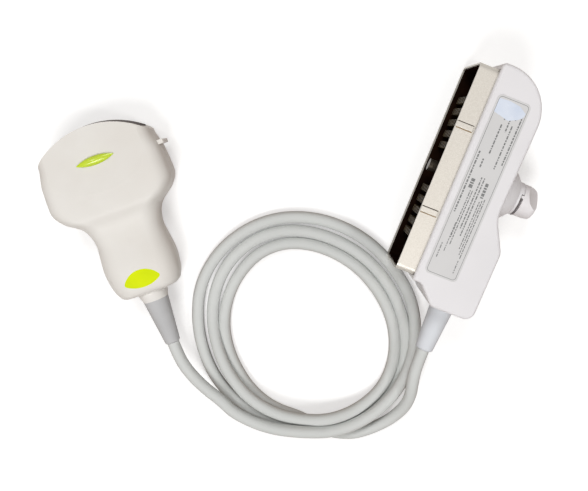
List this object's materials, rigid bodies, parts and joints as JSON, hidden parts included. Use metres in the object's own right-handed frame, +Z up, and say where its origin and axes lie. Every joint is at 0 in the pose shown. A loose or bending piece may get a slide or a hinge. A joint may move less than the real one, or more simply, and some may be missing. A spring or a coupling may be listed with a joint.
{
  "type": "ultrasound transducer",
  "caption": "Convex hand-held ultrasound transducer with a coiled cable and a multi-contact connector that a turning knob locks.",
  "frame": {"origin": "on the floor under the middle of the box of the rigid pieces; the cable is not counted", "axes": "+Z up; +X along the longest side of that box, from the probe to the connector's knob; the connector's length runs along Y"},
  "size_m": [0.2585, 0.2416, 0.0494],
  "materials": {
    "housing_ivory": "fine moulded grain, satin",
    "mark_green": "smooth yellow-green",
    "lens_grey": "smooth soft rubber",
    "ceramic_tan": "ground ceramic",
    "backing_dark": "filled resin",
    "frame_black": "plain moulded",
    "flex_amber": "thin film",
    "board_green": "coated board",
    "core_grey": "braided bundle in a thin jacket",
    "clamp_steel": "pressed",
    "collar_white": "satin",
    "boot_grey": "soft matt",
    "housing_white": "fine moulded grain, satin",
    "screw_steel": "plain",
    "shroud_metal": "warm satin plating",
    "block_dark": "plain moulded",
    "contact_gold": "thin gold plating",
    "shaft_steel": "turned",
    "bush_brass": "turned",
    "boot_pale": "soft matt",
    "label_pale": "printed film without its print",
    "label_blue": "bright foil patch",
    "cable_grey": "satin jacket"
  },
  "bodies": {
    "root": {"acoustic_lens": "lens_grey", "array_backing": "backing_dark", "array_carrier": "frame_black", "array_flex_lower": "flex_amber", "array_flex_upper": "flex_amber", "block_screws": "screw_steel", "cable_coil": "cable_grey", "cable_lead_connector": "cable_grey", "cable_lead_probe": "cable_grey", "connector_board": "board_green", "connector_cable_clamp": "clamp_steel", "connector_cable_core": "core_grey", "connector_shell_lower": "housing_white", "connector_shell_upper": "housing_white", "connector_shroud": "shroud_metal", "connector_strain_relief": "boot_pale", "contact_block": "block_dark", "contacts": "contact_gold", "grip_inlay": "mark_green", "head_marker": "mark_green", "label_film": "label_pale", "label_patch": "label_blue", "probe_board": "board_green", "probe_cable_clamp": "clamp_steel", "probe_cable_core": "core_grey", "probe_collar": "collar_white", "probe_housing_lower": "housing_ivory", "probe_housing_upper": "housing_ivory", "probe_strain_relief": "boot_grey", "shaft_bush": "bush_brass", "shell_screws": "screw_steel", "transducer_array": "ceramic_tan"},
    "lock": {"lock_shaft": "shaft_steel", "lock_cross_pin": "shaft_steel", "lock_knob": "housing_white", "knob_screw": "screw_steel", "shaft_retaining_ring": "screw_steel"}
  },
  "joints": [
    {"name": "lock_turn", "type": "hinge", "parent": "root", "child": "lock", "pos_m": [0.0783, 0.04445, 0.0245], "axis": [1, 0, 0], "range_deg": [0, 90]}
  ]
}
